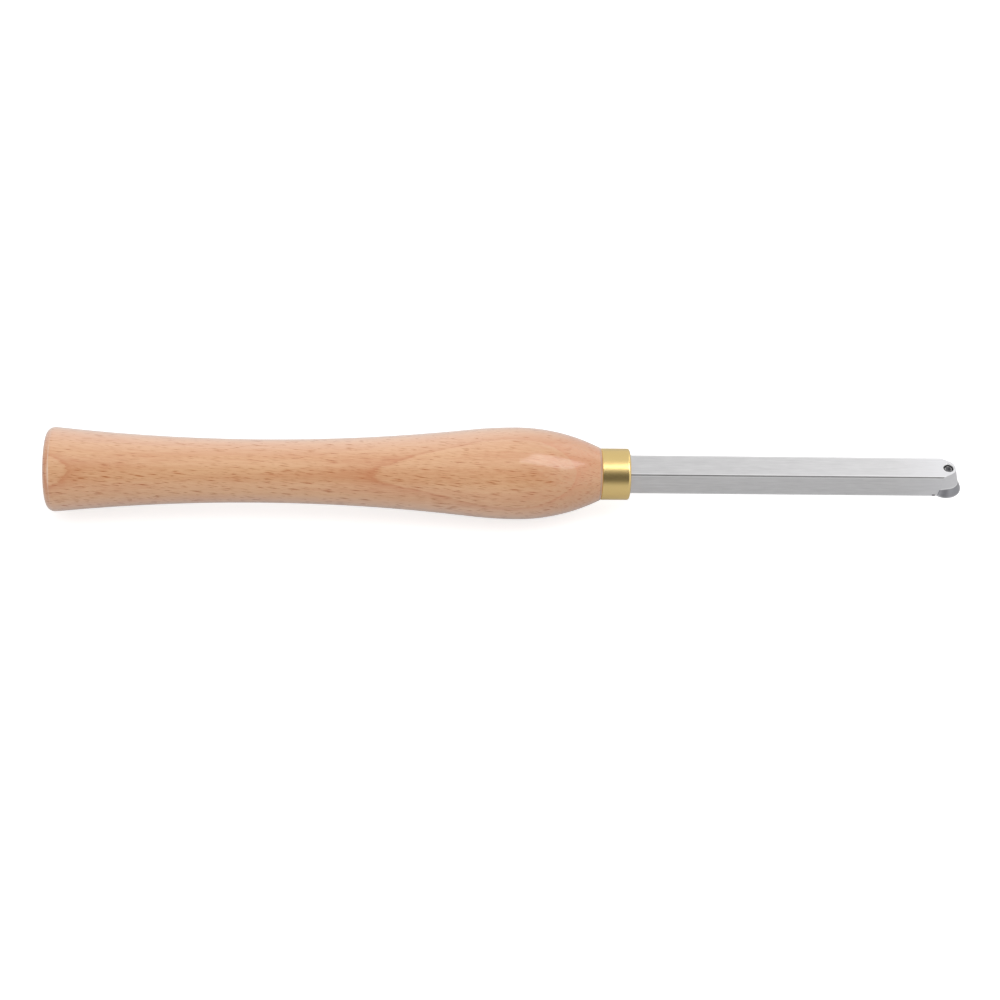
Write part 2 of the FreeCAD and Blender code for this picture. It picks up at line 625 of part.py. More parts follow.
def main():
    """Make every piece, check them all and write one file for each."""
    bodies = [make_handle(), make_ferrule(), make_tool_bar()]
    bodies += [make_adhesive(), make_cutter(), make_cutter_screw()]
    stop_on_failure(bodies)
    os.makedirs("parts", exist_ok=True)
    for body in bodies:
        body.Shape.exportStep(f"parts/{body.Label}.step")
        box = body.Shape.optimalBoundingBox(False)
        print(f"{body.Label}: {body.Shape.Volume:.1f} mm3, X {box.XMin:.2f} to {box.XMax:.2f},"
              f" Z {box.ZMin:.2f} to {box.ZMax:.2f}")


main()
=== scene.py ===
import math

import bmesh
import bpy
from mathutils import Matrix, Vector


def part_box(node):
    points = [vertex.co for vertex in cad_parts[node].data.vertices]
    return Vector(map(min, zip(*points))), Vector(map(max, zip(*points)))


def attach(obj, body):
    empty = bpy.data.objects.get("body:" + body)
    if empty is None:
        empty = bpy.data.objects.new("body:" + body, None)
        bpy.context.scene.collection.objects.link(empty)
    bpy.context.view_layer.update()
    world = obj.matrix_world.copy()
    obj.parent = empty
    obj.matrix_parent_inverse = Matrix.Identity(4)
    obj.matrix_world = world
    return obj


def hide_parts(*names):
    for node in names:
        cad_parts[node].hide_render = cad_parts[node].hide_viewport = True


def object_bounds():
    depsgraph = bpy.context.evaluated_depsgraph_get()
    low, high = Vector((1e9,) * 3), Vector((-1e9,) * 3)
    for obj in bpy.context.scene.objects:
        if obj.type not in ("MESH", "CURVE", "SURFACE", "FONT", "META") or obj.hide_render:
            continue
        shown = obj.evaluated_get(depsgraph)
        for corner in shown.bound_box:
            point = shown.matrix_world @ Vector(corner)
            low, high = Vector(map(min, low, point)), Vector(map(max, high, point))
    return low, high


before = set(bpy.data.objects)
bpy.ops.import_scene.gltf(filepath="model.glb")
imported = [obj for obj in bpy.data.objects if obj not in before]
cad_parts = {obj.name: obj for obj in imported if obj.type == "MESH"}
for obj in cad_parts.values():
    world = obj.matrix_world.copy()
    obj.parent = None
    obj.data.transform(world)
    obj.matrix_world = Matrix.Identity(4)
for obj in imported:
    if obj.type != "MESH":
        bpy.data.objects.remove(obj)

# Looks of the carbide turning tool: materials, turned and threaded detail, floor, light and the
# photograph's camera. The frame is the CAD's: +X to the cutting edge, +Z out of the bar's
# underside, in metres. Sizes in materials and in outlines are in millimetres.

CAD_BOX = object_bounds()
MM = 0.001
FULL_TURN = 2 * math.pi
WHITE = (1, 1, 1, 1)
HANDLE_LOW, HANDLE_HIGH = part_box("handle")
FERRULE_LOW, FERRULE_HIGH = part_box("ferrule")
BAR_LOW, BAR_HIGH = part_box("tool_bar")
CUTTER_LOW, CUTTER_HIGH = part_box("cutter")
SCREW_LOW, SCREW_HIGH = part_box("cutter_screw")
AXIS_HEIGHT = (HANDLE_LOW.z + HANDLE_HIGH.z) / 2
SCREW_STATION = (SCREW_LOW.x + SCREW_HIGH.x) / 2
BAR_SIZE = (BAR_HIGH.y - BAR_LOW.y) / MM
CUTTER_RADIUS = (CUTTER_HIGH.y - CUTTER_LOW.y) / 2 / MM

# Camera: where it stands, which way it turns from looking square at the tool's axis, its lens, and
# the nearest thing that it can show.
CAMERA_DISTANCE = 830 * MM
CAMERA_STATION = -86.6 * MM
CAMERA_ELEVATION = math.radians(46.9)
CAMERA_YAW = math.radians(2.74)
CAMERA_DIP = math.radians(0.67)
CAMERA_ROLL = math.radians(0.52)
CAMERA_LENS = 82.8
CAMERA_NEAREST = 10 * MM

# A ramp is written as (from, to, value before, value after). One of two numbers goes from 0 to 1.
NOISE_MIDDLE = (0.3, 0.7)
NOISE_WIDE = (0.25, 0.75)

# Detail of a noise: how many finer and finer layers it has.
SMOOTH = 2.0
MEDIUM = 3.0
FINE = 4.0

# How much X, Y and Z count in a distance from the X axis and in one from the Z axis.
AROUND_X = (0, 1, 1)
AROUND_Z = (1, 1, 0)


def make_node(tree, kind, inputs=None, **settings):
    """A shader node with its settings, and with its inputs set or linked."""
    node = tree.nodes.new(kind)
    for name, value in settings.items():
        setattr(node, name, value)
    for name, value in (inputs or {}).items():
        if isinstance(value, bpy.types.NodeSocket):
            tree.links.new(value, node.inputs[name])
        else:
            node.inputs[name].default_value = value
    return node


def calculate(tree, operation, *values):
    """The output of a Math node."""
    return make_node(tree, "ShaderNodeMath", dict(enumerate(values)), operation=operation).outputs[0]


def add(tree, first, *others):
    """The sum of some values."""
    total = first
    for other in others:
        total = calculate(tree, "ADD", total, other)
    return total


def multiply(tree, first, *others):
    """The product of some values."""
    product = first
    for other in others:
        product = calculate(tree, "MULTIPLY", product, other)
    return product


def calculate_vector(tree, operation, *values):
    """The vector that a Vector Math node gives."""
    inputs = dict(enumerate(values))
    return make_node(tree, "ShaderNodeVectorMath", inputs, operation=operation).outputs[0]


def get_axes(tree, vector):
    """The X, Y and Z of a vector."""
    return make_node(tree, "ShaderNodeSeparateXYZ", {0: vector}).outputs


def get_radius(tree, place, around):
    """The distance from an axis through the origin: AROUND_X or AROUND_Z."""
    off_axis = {0: calculate_vector(tree, "MULTIPLY", place, around)}
    return make_node(tree, "ShaderNodeVectorMath", off_axis, operation="LENGTH").outputs["Value"]


def turn_place(tree, place, angles):
    """The place turned by angles about X, Y and Z."""
    return make_node(tree, "ShaderNodeMapping", {"Vector": place, "Rotation": angles}).outputs[0]


def remap(tree, value, low, high, to_low=0.0, to_high=1.0):
    """The value's place between low and high, taken to another range and held inside it."""
    limits = {"Value": value, "From Min": low, "From Max": high, "To Min": to_low, "To Max": to_high}
    return make_node(tree, "ShaderNodeMapRange", limits).outputs["Result"]


def near(tree, value, middle, reach):
    """1 where the value is at the middle, falling to 0 at that reach from it."""
    offset = calculate(tree, "ABSOLUTE", calculate(tree, "SUBTRACT", value, middle))
    return remap(tree, offset, 0.0, reach, 1.0, 0.0)


def blend_colours(tree, share, first, second):
    """A colour between two others."""
    mix = make_node(tree, "ShaderNodeMix", data_type="RGBA")
    for socket, value in zip((mix.inputs[0], mix.inputs[6], mix.inputs[7]), (share, first, second)):
        if isinstance(value, bpy.types.NodeSocket):
            tree.links.new(value, socket)
        else:
            socket.default_value = value
    return mix.outputs[2]


def start_material(name):
    """A new material with a surface shader, and the place from the tool's axis in millimetres."""
    material = bpy.data.materials.new(name)
    material.use_nodes = True
    tree = material.node_tree
    place = make_node(tree, "ShaderNodeTexCoord").outputs["Object"]
    centred = calculate_vector(tree, "ADD", place, (0, 0, -AXIS_HEIGHT))
    in_mm = {0: centred, "Scale": 1 / MM}
    place_mm = make_node(tree, "ShaderNodeVectorMath", in_mm, operation="SCALE").outputs[0]
    return material, tree, tree.nodes["Principled BSDF"], place_mm


def get_screw_radius(tree, place):
    """The distance from the cutter screw's axis."""
    from_screw = calculate_vector(tree, "ADD", place, (-SCREW_STATION / MM, 0, 0))
    return get_radius(tree, from_screw, AROUND_Z)


def stretch(tree, place, grain):
    """The place divided by the grain's size along each axis."""
    return calculate_vector(tree, "MULTIPLY", place, tuple(1 / size for size in grain))


def noise(tree, place, grain, detail=MEDIUM):
    """Soft noise from 0 to 1 with that grain in millimetres."""
    settings = {"Vector": stretch(tree, place, grain), "Scale": 1.0, "Detail": detail}
    return make_node(tree, "ShaderNodeTexNoise", settings).outputs["Fac"]


def mix_noises(tree, first, first_share, second):
    """Two noises added up, the second with the rest of the shares."""
    rest = multiply(tree, second, 1 - first_share)
    return calculate(tree, "MULTIPLY_ADD", first, first_share, rest)


def set_bump(tree, shader, height, distance_mm, strength):
    """Fine relief on the surface, at its real depth."""
    settings = {"Height": height, "Distance": distance_mm * MM, "Strength": strength}
    bump = make_node(tree, "ShaderNodeBump", settings)
    tree.links.new(bump.outputs["Normal"], shader.inputs["Normal"])


METAL_BUMP = 0.5


def finish_metal(tree, shader, colour, roughness, marks, relief_mm):
    """Set a metal's shader, with its marks as relief."""
    tree.links.new(colour, shader.inputs["Base Color"])
    tree.links.new(roughness, shader.inputs["Roughness"])
    shader.inputs["Metallic"].default_value = 1.0
    set_bump(tree, shader, marks, relief_mm, METAL_BUMP)


# Beech, turned about X so that Z comes out of the side that the photograph shows and Y runs up
# across it. Years' rings lie round a pith behind the handle. They are counted from the one that
# meets the surface in a long oval on the bulge, and the drift of the rings towards the butt closes
# a second oval there. The grain and the ray flecks slope a little across the handle.
RINGS_TURN = math.radians(-43.1)
GRAIN_SLOPE = math.radians(2.5)
FLECK_SLOPE = math.radians(5.5)
PITH_BEHIND = 24.6
PITH_LOWER = (-110.0, -190.0, 0.0, -2.1)
OVAL_RING_RADIUS = 37.25
RING_DRIFTS = [(-110.0, -190.0, 0.0, 1.95), (-90.0, -20.0, 0.0, 0.75)]
RING_WIDTH = 5.0
SWAY_GRAIN = (60, 14, 14)
SWAY = (0.2, 0.8, -0.4, 0.4)
RAGGED_GRAIN = (7, 0.7, 0.7)
RAGGED = (0.2, 0.8, -0.13, 0.13)

# A ring's late wood, by the ring's age from 0 to 1, and how strongly it shows, by the count of
# rings and along the handle.
LATE_START = (0.78, 0.96, 0.0, 0.35)
LATE_RISE = (0.93, 0.985)
LATE_END = (0.0, 0.03, 1.0, 0.0)
OUTER_RINGS = (-0.95, -0.5, 0.3, 0.6)
INSIDE_OVAL = (0.2, 0.5, 1.0, 0.0)
RINGS_ALONG = (-80.0, -50.0, 0.6, 0.5)
OVAL_BORDER = (-0.32, -0.02)
BORDER_ALONG = (-120.0, -60.0, 0.26, 0.16)
AGE_TONE = 0.12
FAINT_RINGS = 5.0
FAINT_TONE = 0.08

# The wood's tones and colours, with painted shade that makes it redder and darker beside the ferrule
# (SHADED_FRONT), and a painted sheen that makes strips along its upper and lower side paler. ACROSS,
# UPPER and LOWER go by how high a place is on the shown side, and TOWARDS by how squarely it faces
# out of that side, both from -1 to 1.
STREAK_GRAIN = (10, 0.32, 0.32)
STREAK_TONE = (*NOISE_MIDDLE, -0.25, 0.35)
BROAD_GRAIN = (60, 3.5, 3.5)
BROAD_TONE = (*NOISE_MIDDLE, -0.15, 0.3)
BUTT_TONE = 0.4
SHADED_FRONT_TONE = (-42.0, -20.0, 0.0, 0.3)
SHADED_FRONT_ACROSS = (-0.2, 0.3)
SHADED_FRONT_SHARE = (-48.0, -22.0, 0.0, 0.85)
PAINTED_SHEEN_UPPER = (0.42, 0.9, 0.0, 0.52)
PAINTED_SHEEN_LOWER = (-0.7, -1.0, 0.0, 0.45)
PAINTED_SHEEN_TOWARDS = (-0.5, 0.15, 0.2, 1.0)
PAINTED_SHEEN_ALONG = (-62.0, -20.0, 1.0, 0.15)
LIGHT_WOOD = (0.835, 0.475, 0.25, 1)
SHADED_FRONT_WOOD = (0.665, 0.345, 0.165, 1)
RED_WOOD = (0.68, 0.275, 0.12, 1)
PAINTED_SHEEN_WOOD = (0.96, 0.62, 0.455, 1)

# Ray flecks: the size of their cells with the faintest and the strongest fleck, and how each cell
# is bent and filled. Towards the upper side they show less.
FLECK_SIZES = [((6.6, 0.37, 1.6), 0.15, 1.25), ((4.2, 0.32, 1.1), 0.05, 0.9)]
FLECKS_ACROSS = (-3.0, 5.0, 1.2, 0.75)
FLECK_WARP = (0.35, 0.35, 0.35)
FLECK_WARP_SCALE = 1.6
FLECK_WARP_DETAIL = 1.0
FLECK_REACH = (0.0, 1.0, 0.25, 0.65)
FLECK_EDGE = (0.5, 1.0, 1.0, 0.0)
FLECK_RARITY = 1.5
FLECK_COLOUR = (0.48, 0.11, 0.0, 1)

# Marks at the handle's ends: a painted highlight along the crease at the butt, brightest on its
# upper part, the dark joint behind the ferrule, and a painted highlight on the lip at it.
BUTT_CREASE = HANDLE_LOW.x / MM + 2.2
CREASE_REACH = 0.35
HIGHLIGHT_PATCH_GRAIN = (3, 3, 3)
HIGHLIGHT_PATCHES = (0.35, 0.65, 0.2, 0.8)
CREASE_LIT_MIDDLE = 1.5
CREASE_LIT_REACH = 9.0
CREASE_LIT_SHARE = (0.0, 0.5, 0.4, 1.0)
WOOD_FRONT = FERRULE_LOW.x / MM
JOINT_STATION = WOOD_FRONT - 0.4
JOINT_REACH = 0.35
JOINT_SHARE = 0.6
LIP_REACH = 0.25
PAINTED_EDGE_HIGHLIGHT = (0.90, 0.70, 0.54, 1)
DARK_JOINT = (0.25, 0.19, 0.17, 1)

# The lacquer over it all.
LACQUER = {
    "Coat Weight": 1.0,
    "Coat Roughness": 0.13,
    "Coat IOR": 1.6,
    "Sheen Weight": 0.45,
    "Sheen Roughness": 0.5,
}
WOOD_ROUGHNESS = (*NOISE_MIDDLE, 0.42, 0.55)
WOOD_RELIEF = 0.01
WOOD_BUMP = 0.4


def get_ring_tone(tree, facing, grain, along):
    """How much the years' rings redden the wood."""
    pith_place = {"Y": remap(tree, along, *PITH_LOWER), "Z": PITH_BEHIND}
    pith = make_node(tree, "ShaderNodeCombineXYZ", pith_place).outputs[0]
    radius = get_radius(tree, calculate_vector(tree, "ADD", facing, pith), AROUND_X)
    past_oval = calculate(tree, "SUBTRACT", radius, OVAL_RING_RADIUS)
    for drift in RING_DRIFTS:
        past_oval = calculate(tree, "SUBTRACT", past_oval, remap(tree, along, *drift))
    sway = remap(tree, noise(tree, facing, SWAY_GRAIN), *SWAY)
    ragged = remap(tree, noise(tree, grain, RAGGED_GRAIN, SMOOTH), *RAGGED)
    rings = calculate(tree, "DIVIDE", add(tree, past_oval, sway, ragged), RING_WIDTH)
    age = calculate(tree, "FRACT", rings)

    late = calculate(tree, "MAXIMUM", remap(tree, age, *LATE_RISE), remap(tree, age, *LATE_END))
    late = calculate(tree, "MAXIMUM", late, remap(tree, age, *LATE_START))
    for value, strength in ((rings, OUTER_RINGS), (rings, INSIDE_OVAL), (along, RINGS_ALONG)):
        late = multiply(tree, late, remap(tree, value, *strength))
    outside = calculate(tree, "LESS_THAN", rings, 0.0)
    border = multiply(tree, remap(tree, rings, *OVAL_BORDER), remap(tree, along, *BORDER_ALONG), outside)
    faint_age = calculate(tree, "FRACT", multiply(tree, rings, FAINT_RINGS))
    faint = multiply(tree, faint_age, FAINT_TONE)
    return add(tree, multiply(tree, age, AGE_TONE), faint, late, border)


def add_flecks(tree, colour, grain, across):
    """The colour with ray flecks on it, each of its own size and strength."""
    by_side = remap(tree, across, *FLECKS_ACROSS)
    for size, faintest, strongest in FLECK_SIZES:
        flecks_at = stretch(tree, grain, size)
        bends = {"Vector": flecks_at, "Scale": FLECK_WARP_SCALE, "Detail": FLECK_WARP_DETAIL}
        bent = make_node(tree, "ShaderNodeTexNoise", bends).outputs["Color"]
        warped = calculate_vector(tree, "MULTIPLY_ADD", bent, FLECK_WARP, flecks_at)
        settings = {"Vector": warped, "Scale": 1.0, "Randomness": 1.0}
        cells = make_node(tree, "ShaderNodeTexVoronoi", settings, distance="MANHATTAN").outputs
        chance = make_node(tree, "ShaderNodeSeparateColor", {"Color": cells["Color"]}).outputs
        reach = remap(tree, chance[0], *FLECK_REACH)
        edge = remap(tree, calculate(tree, "DIVIDE", cells["Distance"], reach), *FLECK_EDGE)
        rarity = calculate(tree, "POWER", chance[1], FLECK_RARITY)
        strength = remap(tree, rarity, 0.0, 1.0, faintest, strongest)
        fleck = multiply(tree, edge, strength, by_side)
        colour = blend_colours(tree, fleck, colour, FLECK_COLOUR)
    return colour


def add_end_marks(tree, colour, place, along, across):
    """The colour with painted highlights on the butt's crease and the ferrule's lip, and the dark joint
    behind the ferrule.
    """
    # Painted highlights: noise patches set how strongly the pale line shows on the crease and on the lip.
    worn = remap(tree, noise(tree, place, HIGHLIGHT_PATCH_GRAIN, SMOOTH), *HIGHLIGHT_PATCHES)
    crease_lit_side = remap(tree, near(tree, across, CREASE_LIT_MIDDLE, CREASE_LIT_REACH), *CREASE_LIT_SHARE)
    crease = multiply(tree, near(tree, along, BUTT_CREASE, CREASE_REACH), worn, crease_lit_side)
    colour = blend_colours(tree, crease, colour, PAINTED_EDGE_HIGHLIGHT)
    joint = multiply(tree, near(tree, along, JOINT_STATION, JOINT_REACH), JOINT_SHARE)
    colour = blend_colours(tree, joint, colour, DARK_JOINT)
    lip = multiply(tree, near(tree, along, WOOD_FRONT, LIP_REACH), worn)
    return blend_colours(tree, lip, colour, PAINTED_EDGE_HIGHLIGHT)


def make_beech():
    """Clear lacquer over beech, with its rings, ray flecks and fine streaks along the grain."""
    material, tree, shader, place = start_material("beech")
    facing = turn_place(tree, place, (RINGS_TURN, 0, 0))
    grain = turn_place(tree, facing, (0, 0, GRAIN_SLOPE))
    fleck_grain = turn_place(tree, facing, (0, 0, FLECK_SLOPE))
    along, across, towards = get_axes(tree, facing)
    radius = get_radius(tree, place, AROUND_X)
    side = calculate(tree, "DIVIDE", across, radius)

    streaks = noise(tree, grain, STREAK_GRAIN, FINE)
    tones = [
        get_ring_tone(tree, facing, grain, along),
        remap(tree, streaks, *STREAK_TONE),
        remap(tree, noise(tree, facing, BROAD_GRAIN), *BROAD_TONE),
        multiply(tree, calculate(tree, "LESS_THAN", along, BUTT_CREASE), BUTT_TONE),
        # Painted shade: redder and darker on the upper side of the front beside the ferrule.
        multiply(tree, remap(tree, along, *SHADED_FRONT_TONE), remap(tree, side, *SHADED_FRONT_ACROSS)),
    ]
    # Painted shade: the base colour turns darker towards the ferrule.
    light_wood = blend_colours(tree, remap(tree, along, *SHADED_FRONT_SHARE), LIGHT_WOOD, SHADED_FRONT_WOOD)
    colour = blend_colours(tree, remap(tree, add(tree, *tones), 0.0, 1.0), light_wood, RED_WOOD)

    # Painted sheen: paler strips along the upper and lower side, strongest on the side that faces out.
    strips = add(tree, remap(tree, side, *PAINTED_SHEEN_UPPER), remap(tree, side, *PAINTED_SHEEN_LOWER))
    shown = remap(tree, calculate(tree, "DIVIDE", towards, radius), *PAINTED_SHEEN_TOWARDS)
    pale = multiply(tree, strips, shown, remap(tree, along, *PAINTED_SHEEN_ALONG))
    colour = blend_colours(tree, pale, colour, PAINTED_SHEEN_WOOD)
    colour = add_flecks(tree, colour, fleck_grain, across)
    colour = add_end_marks(tree, colour, place, along, across)

    tree.links.new(colour, shader.inputs["Base Color"])
    tree.links.new(remap(tree, streaks, *WOOD_ROUGHNESS), shader.inputs["Roughness"])
    for name, value in LACQUER.items():
        shader.inputs[name].default_value = value
    set_bump(tree, shader, streaks, WOOD_RELIEF, WOOD_BUMP)
    return material


# Brass: fine marks that run round the ferrule.
BRASS_LIGHT = (0.865, 0.64, 0.272, 1)
BRASS_DARK = (0.843, 0.624, 0.265, 1)
BRASS_GRAIN = (0.2, 8, 8)
BRASS_PATCHES = (14, 5, 5)
BRASS_MARKS_SHARE = 0.6
BRASS_ROUGHNESS = (*NOISE_WIDE, 0.244, 0.256)
BRASS_ANISOTROPY = 0.5
BRASS_RELIEF = 0.0001


def make_brass():
    """Turned and polished brass, its gloss drawn out across the turning marks."""
    material, tree, shader, place = start_material("brass")
    marks = noise(tree, place, BRASS_GRAIN, FINE)
    uneven = mix_noises(tree, marks, BRASS_MARKS_SHARE, noise(tree, place, BRASS_PATCHES))
    colour = blend_colours(tree, remap(tree, uneven, *NOISE_MIDDLE), BRASS_DARK, BRASS_LIGHT)
    shader.inputs["Anisotropic"].default_value = BRASS_ANISOTROPY
    lay = make_node(tree, "ShaderNodeTangent", direction_type="RADIAL", axis="X")
    tree.links.new(lay.outputs[0], shader.inputs["Tangent"])
    finish_metal(tree, shader, colour, remap(tree, marks, *BRASS_ROUGHNESS), marks, BRASS_RELIEF)
    return material


# Bar steel: its long edges, where the distances from the bar's two middle planes add up to nearly
# its size, worn and with a painted highlight beside them and painted shade on their breaks; the
# seat's rim and the hole's mouth, worn and with painted highlights; painted light towards the nose;
# and a painted shadow at the nick that the seat's wall leaves in the bar's lower edge.
BRUSHING_GRAIN = (20, 0.18, 0.18)
MOTTLE_GRAIN = (5, 0.9, 0.9)
BRUSHING_SHARE = 0.5
STEEL_TONE = (0.32, 0.68)
NOSE_LIGHT_SHARE = (96.0, 112.0, 0.0, 0.33)
EDGE_WEAR_HIGHLIGHT = BAR_SIZE - 0.6
EDGE_WEAR_HIGHLIGHT_REACH = 0.3
EDGE_WEAR_HIGHLIGHT_SHARE = 0.7
EDGE_BREAK = BAR_SIZE - 0.34
SEAT_START = 113.3
SEAT_RIM = -1.4
MOUTH_RADIUS = 2.0
RIM_REACH = 0.45
MOUTH_ABOVE = BAR_SIZE / 2 - 0.5
MOUTH_ROUGHER = 0.3
NICK_STATION = 111.2
NICK_REACH = 0.7
NICK_ENDS = (0.0, 0.4)
NICK_HEIGHT = (-4.05, -3.9, 1.0, 0.0)
NICK_FACE = BAR_SIZE / 2 - 0.4
STEEL_ROUGHNESS = (*NOISE_MIDDLE, 0.3, 0.42)
STEEL_RELIEF = 0.006
STEEL_LIGHT = (0.74, 0.735, 0.74, 1)
STEEL_DARK = (0.62, 0.615, 0.62, 1)
STEEL_NOSE_LIT = (0.84, 0.84, 0.88, 1)
STEEL_WEAR_HIGHLIGHT = (0.92, 0.92, 0.92, 1)
SHADED_EDGE_STEEL = (0.45, 0.44, 0.44, 1)
NICK_SHADOW = (0.14, 0.13, 0.14, 1)


def make_bar_steel():
    """Brushed bar with painted shade on its edge breaks, wear and painted highlights on its edges and
    rims, painted light towards the nose, and a painted shadow at the nick beside the seat.
    """
    material, tree, shader, place = start_material("bar_steel")
    along, across, height = get_axes(tree, place)
    brushing = noise(tree, place, BRUSHING_GRAIN, FINE)
    marks = mix_noises(tree, brushing, BRUSHING_SHARE, noise(tree, place, MOTTLE_GRAIN, FINE))
    colour = blend_colours(tree, remap(tree, marks, *STEEL_TONE), STEEL_DARK, STEEL_LIGHT)
    # Painted light: the steel is painted lighter towards the nose.
    colour = blend_colours(tree, remap(tree, along, *NOSE_LIGHT_SHARE), colour, STEEL_NOSE_LIT)

    off_middle = calculate(tree, "ABSOLUTE", across)
    to_edge = add(tree, off_middle, calculate(tree, "ABSOLUTE", height))
    # Edge wear with a painted highlight: the faces are painted lighter just inside the long edges.
    edge_wear_highlight = multiply(tree, near(tree, to_edge, EDGE_WEAR_HIGHLIGHT, EDGE_WEAR_HIGHLIGHT_REACH), EDGE_WEAR_HIGHLIGHT_SHARE)
    colour = blend_colours(tree, edge_wear_highlight, colour, STEEL_WEAR_HIGHLIGHT)
    # Painted shade: the edge breaks are painted darker.
    colour = blend_colours(tree, calculate(tree, "GREATER_THAN", to_edge, EDGE_BREAK), colour, SHADED_EDGE_STEEL)

    # Wear with painted highlights: the seat's rim and the hole's mouth are painted lighter.
    past_start = calculate(tree, "GREATER_THAN", along, SEAT_START)
    seat = multiply(tree, near(tree, height, SEAT_RIM, RIM_REACH), past_start)
    on_underside = calculate(tree, "GREATER_THAN", height, MOUTH_ABOVE)
    mouth = near(tree, get_screw_radius(tree, place), MOUTH_RADIUS, RIM_REACH)
    mouth = multiply(tree, mouth, on_underside)
    colour = blend_colours(tree, calculate(tree, "MAXIMUM", seat, mouth), colour, STEEL_WEAR_HIGHLIGHT)

    # Painted shadow: a dark patch where the seat's wall breaks out of the bar's lower edge.
    at_nick = remap(tree, near(tree, along, NICK_STATION, NICK_REACH), *NICK_ENDS)
    on_face = calculate(tree, "GREATER_THAN", off_middle, NICK_FACE)
    nick = multiply(tree, at_nick, remap(tree, height, *NICK_HEIGHT), on_face)
    colour = blend_colours(tree, nick, colour, NICK_SHADOW)
    roughness = remap(tree, marks, *STEEL_ROUGHNESS)
    roughness = calculate(tree, "MULTIPLY_ADD", mouth, MOUTH_ROUGHER, roughness)
    finish_metal(tree, shader, colour, roughness, marks, STEEL_RELIEF)
    return material


# Carbide: rings left by the grinding wheel, and the brighter land at the cutting edge.
WHEEL_GRAIN = (1 / 9, 1, 1)
WHEEL_SHARE = 0.6
CARBIDE_GRAIN = (0.25, 0.25, 0.25)
CARBIDE_LAND = (CUTTER_RADIUS - 0.25, CUTTER_RADIUS - 0.1)
CARBIDE_ROUGHNESS = (*NOISE_WIDE, 0.24, 0.38)
CARBIDE_RELIEF = 0.003
CARBIDE_DARK = (0.31, 0.31, 0.33, 1)
CARBIDE_LIGHT = (0.41, 0.41, 0.435, 1)
CARBIDE_BRIGHT = (0.55, 0.55, 0.57, 1)


def make_carbide():
    """Ground carbide: dark, with fine rings left by the wheel and a brighter land at the edge."""
    material, tree, shader, place = start_material("carbide")
    radius = get_screw_radius(tree, place)
    outwards = make_node(tree, "ShaderNodeCombineXYZ", {"X": radius}).outputs[0]
    rings = noise(tree, outwards, WHEEL_GRAIN, FINE)
    marks = mix_noises(tree, rings, WHEEL_SHARE, noise(tree, place, CARBIDE_GRAIN))
    ground = blend_colours(tree, remap(tree, marks, *NOISE_MIDDLE), CARBIDE_DARK, CARBIDE_LIGHT)
    colour = blend_colours(tree, remap(tree, radius, *CARBIDE_LAND), ground, CARBIDE_BRIGHT)
    finish_metal(tree, shader, colour, remap(tree, marks, *CARBIDE_ROUGHNESS), marks, CARBIDE_RELIEF)
    return material


# Cutter screw. Its end is up in the bar's hole and its head is down in the cutter.
SCREW_SEGMENTS = 96
THREAD_PITCH = 0.7
THREAD_CREST = 1.74
THREAD_ROOT = 1.48
THREAD_LENGTH = 6.65
THREAD_ROWS = 95
RIDGE_HEIGHT = 1.6
RIDGE_STEEPNESS = 3.6
LEAD_RADIUS = 1.3
NECK_RADIUS = 1.6
HEAD_CONE_FOOT = 7.22
HEAD_RADIUS = 3.17
HEAD_SHOULDER = 8.8
HEAD_BEVEL = 0.06
SOCKET_LOBES = 6
SOCKET_RADIUS = 1.38
SOCKET_LOBE = 0.23
SOCKET_BEVEL = 0.07
SOCKET_DEPTH = 1.4
DIMPLE_RADIUS = 0.75
DIMPLE_DEPTH = 0.25
POINT_RADIUS = 0.05

# Its steel, dark apart from where the finish is worn off, patch by patch.
SPECK_GRAIN = (0.6, 0.6, 0.6)
PATCH_GRAIN = (1.1, 1.1, 1.1)
BARE_PATCHES = (0.42, 0.6, 0.05, 0.65)
END_RIM = 1.15
END_RIM_REACH = 0.3
HEAD_RIM_REACH = 0.12
CREST_WEAR = (1.6, 1.72)
CREST_LIMIT = THREAD_CREST + 0.02
SCREW_ROUGHNESS = (*NOISE_WIDE, 0.24, 0.36)
SCREW_RELIEF = 0.004
SCREW_DARK = (0.06, 0.06, 0.065, 1)
SCREW_LIGHT = (0.10, 0.10, 0.105, 1)
SCREW_BARE = (0.62, 0.61, 0.60, 1)


def make_screw_steel():
    """Dark oiled steel, worn bright on the thread's crests, the end's rim and the head's edge."""
    material, tree, shader, place = start_material("screw_steel")
    radius = get_screw_radius(tree, place)
    specks = noise(tree, place, SPECK_GRAIN, FINE)
    dark = blend_colours(tree, remap(tree, specks, *NOISE_MIDDLE), SCREW_DARK, SCREW_LIGHT)
    on_thread = calculate(tree, "LESS_THAN", radius, CREST_LIMIT)
    worn = multiply(tree, remap(tree, radius, *CREST_WEAR), on_thread)
    for rim, reach in ((END_RIM, END_RIM_REACH), (HEAD_RADIUS, HEAD_RIM_REACH)):
        worn = calculate(tree, "MAXIMUM", worn, near(tree, radius, rim, reach))
    patches = remap(tree, noise(tree, place, PATCH_GRAIN, SMOOTH), *BARE_PATCHES)
    colour = blend_colours(tree, multiply(tree, worn, patches), dark, SCREW_BARE)
    finish_metal(tree, shader, colour, remap(tree, specks, *SCREW_ROUGHNESS), specks, SCREW_RELIEF)
    return material


EPOXY_GRAIN = (4, 4, 4)
EPOXY_DARK = (0.36, 0.25, 0.11, 1)
EPOXY_LIGHT = (0.48, 0.36, 0.18, 1)
EPOXY_ROUGHNESS = (*NOISE_MIDDLE, 0.4, 0.6)
EPOXY_RELIEF = 0.05
EPOXY_BUMP = 0.3


